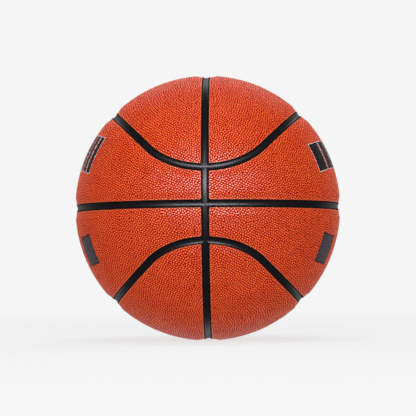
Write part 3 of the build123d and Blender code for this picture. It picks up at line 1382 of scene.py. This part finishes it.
@dataclass(frozen=True)
class ThreadFinish(Finish):
    """Nylon thread wound in three directions and set in latex, smoother on its ridges than between them."""

    thread_width: float = 0.9 * MM
    wave_widths: float = 0.05
    waver: float = 0.6
    roughness_spread: float = -0.1
    relief_range: tuple[float, float] = (0.0, 1.0)

    def paint(self, sheet: NodeSheet, blotch: Socket, grain: Socket) -> tuple[Socket, dict[str, object]]:
        """Lay out the ridges of three sets of threads, the highest of which shows.

        Args:
            sheet: The material's nodes.
            blotch: The shared uneven tint, not used.
            grain: The shared fine grain.

        Returns:
            The relief, and the shader's inputs that don't follow from it.
        """
        place = sheet.add("TexCoord").outputs["Object"]
        bands = {"Vector": place, "Scale": self.wave_widths / self.thread_width, "Distortion": self.waver}
        ridges = grain
        for direction in ("X", "Y", "Z"):
            wave = sheet.add("TexWave", bands, bands_direction=direction)
            ridges = sheet.math("MAXIMUM", ridges, wave.outputs["Fac"])
        return ridges, {"Base Color": sheet.mix(ridges, self.shade, self.color)}


COOL_WHITE = from_srgb(248, 245, 255)
GLOSS_ONLY = {"color": COOL_WHITE, "in_color": False, "in_gloss": True}


@dataclass(frozen=True)
class SoftLamp:
    """A rectangular area lamp that looks at the ball, and may light only its colour or its gloss."""

    name: str
    place: tuple[float, float, float]
    width: float
    height: float
    power: float
    color: Color = (1.0, 1.0, 1.0, 1.0)
    in_color: bool = True
    in_gloss: bool = False

    def build(self) -> None:
        """Add the lamp to the scene."""
        data = bpy.data.lights.new(self.name, "AREA")
        data.shape = "RECTANGLE"
        data.size = self.width
        data.size_y = self.height
        data.energy = self.power
        data.color = self.color[:3]
        lamp = linked(self.name, data)
        lamp.location = self.place
        lamp.rotation_euler = Vector(self.place).to_track_quat("Z", "Y").to_euler()
        lamp.visible_diffuse = self.in_color
        lamp.visible_glossy = self.in_gloss


@dataclass
class Studio:
    """Pale floor and backdrop, a dim room, a strip lamp in front of the ball and soft fill all round."""

    floor_level: float
    floor_width: float = 40.0
    floor_color: Color = from_srgb(200, 200, 200)
    floor_light: float = 1.02
    floor_shows_light: float = 0.22
    floor_fade: tuple[float, float] = (0.35, 1.5)
    backdrop: Color = from_srgb(245, 245, 245)
    room_light: float = 0.08
    gloss_share: float = 0.8
    gloss_turn: tuple[float, float] = (0.45, 0.95)
    lamps: tuple[SoftLamp, ...] = (
        SoftLamp("key_strip", (0.0, -1.92, 0.72), 2.2, 0.28, 39.0, COOL_WHITE, in_gloss=True),
        SoftLamp("gloss_strip", (0.0, -1.92, 0.72), 2.2, 0.28, 48.0, **GLOSS_ONLY),
        SoftLamp("gloss_top", (0.0, 1.6, 1.5), 1.8, 0.7, 6.0, **GLOSS_ONLY),
        SoftLamp("gloss_floor", (0.0, 1.6, -1.5), 1.8, 0.7, 3.5, **GLOSS_ONLY),
        SoftLamp("fill_top", (0.0, -0.1, 2.0), 1.6, 1.6, 37.5),
        SoftLamp("fill_front_left", (-1.6, -1.2, 0.0), 1.4, 1.4, 19.0),
        SoftLamp("fill_front_right", (1.6, -1.2, 0.0), 1.4, 1.4, 19.0),
        SoftLamp("fill_back_left", (-1.4, 1.4, 0.7), 1.4, 1.4, 15.5),
        SoftLamp("fill_back_right", (1.4, 1.4, 0.7), 1.4, 1.4, 15.5),
    )

    def build(self) -> None:
        """Add the floor, the world and the lamps."""
        bpy.context.scene.view_settings.view_transform = "Standard"
        self._build_floor()
        self._build_world()
        for lamp in self.lamps:
            lamp.build()

    def _seen_directly(self, sheet: NodeSheet, in_gloss: object = 0.0) -> Socket:
        """Tell rays that see a surface from those that only carry its light.

        Args:
            sheet: The nodes of a material or of the world.
            in_gloss: Share for the rays that see it in gloss.

        Returns:
            1 for rays from the camera and through glass, that share for those in gloss, and 0 for others.
        """
        path = sheet.add("LightPath").outputs
        glossy = sheet.math("MULTIPLY", path["Is Glossy Ray"], in_gloss)
        through = sheet.math("MAXIMUM", glossy, path["Is Transmission Ray"])
        return sheet.math("MAXIMUM", path["Is Camera Ray"], through)

    def _build_floor(self) -> None:
        """Add a flat floor with a faint glow: paper that shows shadow near the ball and fades off."""
        reach = np.array((-0.5, 0.5)) * self.floor_width
        across, away = np.meshgrid(reach, reach, indexing="ij")
        maker = MeshMaker()
        maker.add_grid(np.stack((across, away, np.full_like(across, self.floor_level)), axis=-1))
        floor = maker.to_object("floor")
        material = bpy.data.materials.new("pale_floor")
        sheet = NodeSheet.of(material)
        place = sheet.add("TexCoord").outputs["Object"]
        distance = sheet.add("VectorMath", {0: place}, operation="LENGTH").outputs["Value"]
        plain = sheet.ranged(distance, self.floor_fade, (1 - self.floor_shows_light, 1.0))
        seen = self._seen_directly(sheet)
        share = sheet.math("MAXIMUM", plain, sheet.math("SUBTRACT", 1.0, seen))
        strength = sheet.ranged(seen, (0.0, 1.0), (self.floor_light, 1.0))
        paper = sheet.add("BsdfDiffuse", {"Color": self.floor_color})
        glow = sheet.add("Emission", {"Color": self.backdrop, "Strength": strength})
        mixed = sheet.add("MixShader", {0: share, 1: paper.outputs[0], 2: glow.outputs[0]})
        sheet.add("OutputMaterial", {"Surface": mixed.outputs[0]})
        floor.data.materials.append(material)
        floor.visible_glossy = False
        floor.visible_shadow = False
        floor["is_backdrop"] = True

    def _build_world(self) -> None:
        """Add surroundings that light the ball softly and look like the backdrop."""
        world = bpy.data.worlds.new("studio")
        sheet = NodeSheet.of(world)
        light = sheet.add("Background", {"Color": (1.0, 1.0, 1.0, 1.0), "Strength": self.room_light})
        seen = sheet.add("Background", {"Color": self.backdrop, "Strength": 1.0})
        way = sheet.add("TexCoord").outputs["Generated"]
        away = sheet.add("SeparateXYZ", {0: way}).outputs["Y"]
        share = self._seen_directly(sheet, sheet.ranged(away, self.gloss_turn, (0.0, self.gloss_share)))
        mixed = sheet.add("MixShader", {0: share, 1: light.outputs[0], 2: seen.outputs[0]})
        sheet.add("OutputWorld", {"Surface": mixed.outputs[0]})
        bpy.context.scene.world = world


@dataclass(frozen=True)
class PhotoCamera:
    """The photograph's camera, from the ball's outline in it and the turn of the seams."""

    sizes: BallSizes
    distance_in_radii: float = 15.0
    yaw: float = math.radians(-1.09)
    pitch: float = math.radians(-1.98)
    roll: float = math.radians(-0.47)
    image_side: float = 416.0
    outline_radius: float = 132.4
    outline_middle: tuple[float, float] = (207.74, 208.12)
    sensor: float = 36.0

    @property
    def lens(self) -> float:
        """Focal length at which the ball's outline has its size in the photograph."""
        focal_pixels = self.outline_radius * math.sqrt(self.distance_in_radii**2 - 1)
        return focal_pixels / self.image_side * self.sensor

    def build(self) -> None:
        """Add the camera: it looks along +Y at the ball, turned back by the ball's own turn."""
        turn = Matrix.Rotation(self.roll, 3, "Y") @ Matrix.Rotation(self.pitch, 3, "X")
        turn = (turn @ Matrix.Rotation(self.yaw, 3, "Z")).transposed()
        data = bpy.data.cameras.new("photo_camera")
        data.lens = self.lens
        data.sensor_width = self.sensor
        data.shift_x = (self.image_side / 2 - self.outline_middle[0]) / self.image_side
        data.shift_y = (self.outline_middle[1] - self.image_side / 2) / self.image_side
        camera = linked("photo_camera", data)
        upright = Matrix.Rotation(math.pi / 2, 3, "X")
        away = turn @ Vector((0.0, -self.distance_in_radii * self.sizes.radius, 0.0))
        camera.matrix_world = Matrix.Translation(away) @ (turn @ upright).to_4x4()
        bpy.context.scene.camera = camera


COVER_FINISH = CompositeFinish(
    name="pebbled_composite",
    color=from_srgb(222, 102, 46),
    shade=from_srgb(216, 92, 38),
    roughness=0.6,
    specular=0.0,
    grain_scale=3000.0,
    marks=INK_MARKS,
)
RIB_FINISH = RibFinish(
    name="satin_rib_rubber",
    color=from_srgb(8, 6, 10),
    shade=from_srgb(5, 4, 6),
    roughness=0.5,
    roughness_spread=0.04,
    specular=0.0,
    grain_depth=0.008 * MM,
)
NODE_FINISHES = {
    "bladder": Finish("butyl_rubber", from_srgb(58, 57, 57), from_srgb(46, 45, 45), 0.6),
    "nylon_winding": ThreadFinish("wound_nylon", from_srgb(232, 229, 218), from_srgb(176, 170, 152), 0.55),
    "valve_housing": Finish("valve_rubber", from_srgb(48, 47, 49), from_srgb(38, 37, 39), 0.45),
    "valve_plug": Finish("plug_rubber", from_srgb(40, 39, 42), from_srgb(30, 30, 33), 0.4),
}
SPONGE_FINISH = Finish(
    name="closed_cell_sponge",
    color=from_srgb(228, 222, 204),
    shade=from_srgb(206, 198, 176),
    roughness=0.85,
    grain_scale=4000.0,
    grain_depth=0.12 * MM,
)


class Basketball:
    """The whole ball: what it builds itself, and the CAD nodes that it dresses."""

    def __init__(self, nodes: dict[str, Piece]) -> None:
        """Set out the seams, the pebbles and the valve's way.

        Args:
            nodes: The CAD nodes by name.
        """
        self.nodes = nodes
        self.sizes = BallSizes()
        self.net = SeamNet(self.sizes)
        self.skin = PebbleSkin(self.sizes.radius)
        self.valve = ValveWay(self.sizes)
        self.grain = grain_group()

    def build(self) -> None:
        """Build and dress every piece."""
        cover = COVER_FINISH.material(self.grain)
        for kind in PanelKind:
            for half in Half:
                for hand in Hand:
                    panel = CoverPanel(self.sizes, self.net, self.skin, self.valve, kind, half, hand)
                    self._settle(panel.build(), panel.name, cover)
        carcass = Carcass(self.sizes, self.net, self.valve)
        self._settle(carcass.build(), carcass.name, RIB_FINISH.material(self.grain))
        self._dress_nodes()

    def _settle(self, piece: Piece, node: str, material: Material) -> None:
        """Give a new piece its material, and put it in the place of its CAD node.

        Args:
            piece: The new piece.
            node: Name of the CAD node.
            material: The piece's material.
        """
        piece.name = f"{node}_skin"
        piece.data.materials.clear()
        piece.data.materials.append(material)
        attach(piece, BODY)
        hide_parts(node)
        LOG.info("%s: %d faces", piece.name, len(piece.data.polygons))

    def _dress_nodes(self) -> None:
        """Give the CAD nodes that stay their materials."""
        sponge = SPONGE_FINISH.material(self.grain)
        finishes = {name: finish.material(self.grain) for name, finish in NODE_FINISHES.items()}
        for name, node in self.nodes.items():
            material = sponge if "_backing_" in name else finishes.get(name)
            if material is not None:
                node.data.materials.clear()
                node.data.materials.append(material)
                LOG.info("%s: %s", name, material.name)


def box_lists(box: tuple[Vector, Vector]) -> list[list[float]]:
    """The two corners of a box as plain lists of numbers."""
    return [[float(part) for part in corner] for corner in box]


def main() -> None:
    """Load the frame, build the ball, its studio on the floor of the CAD box, and its camera."""
    logging.basicConfig(level=logging.INFO, format="%(name)s: %(message)s")
    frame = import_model()
    cad_box = box_lists(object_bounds())
    ball = Basketball(frame["nodes"])
    ball.build()
    lowest = cad_box[0][2]
    Studio(lowest).build()
    PhotoCamera(ball.sizes).build()
    bpy.context.view_layer.update()


if __name__ == "__main__":
    main()
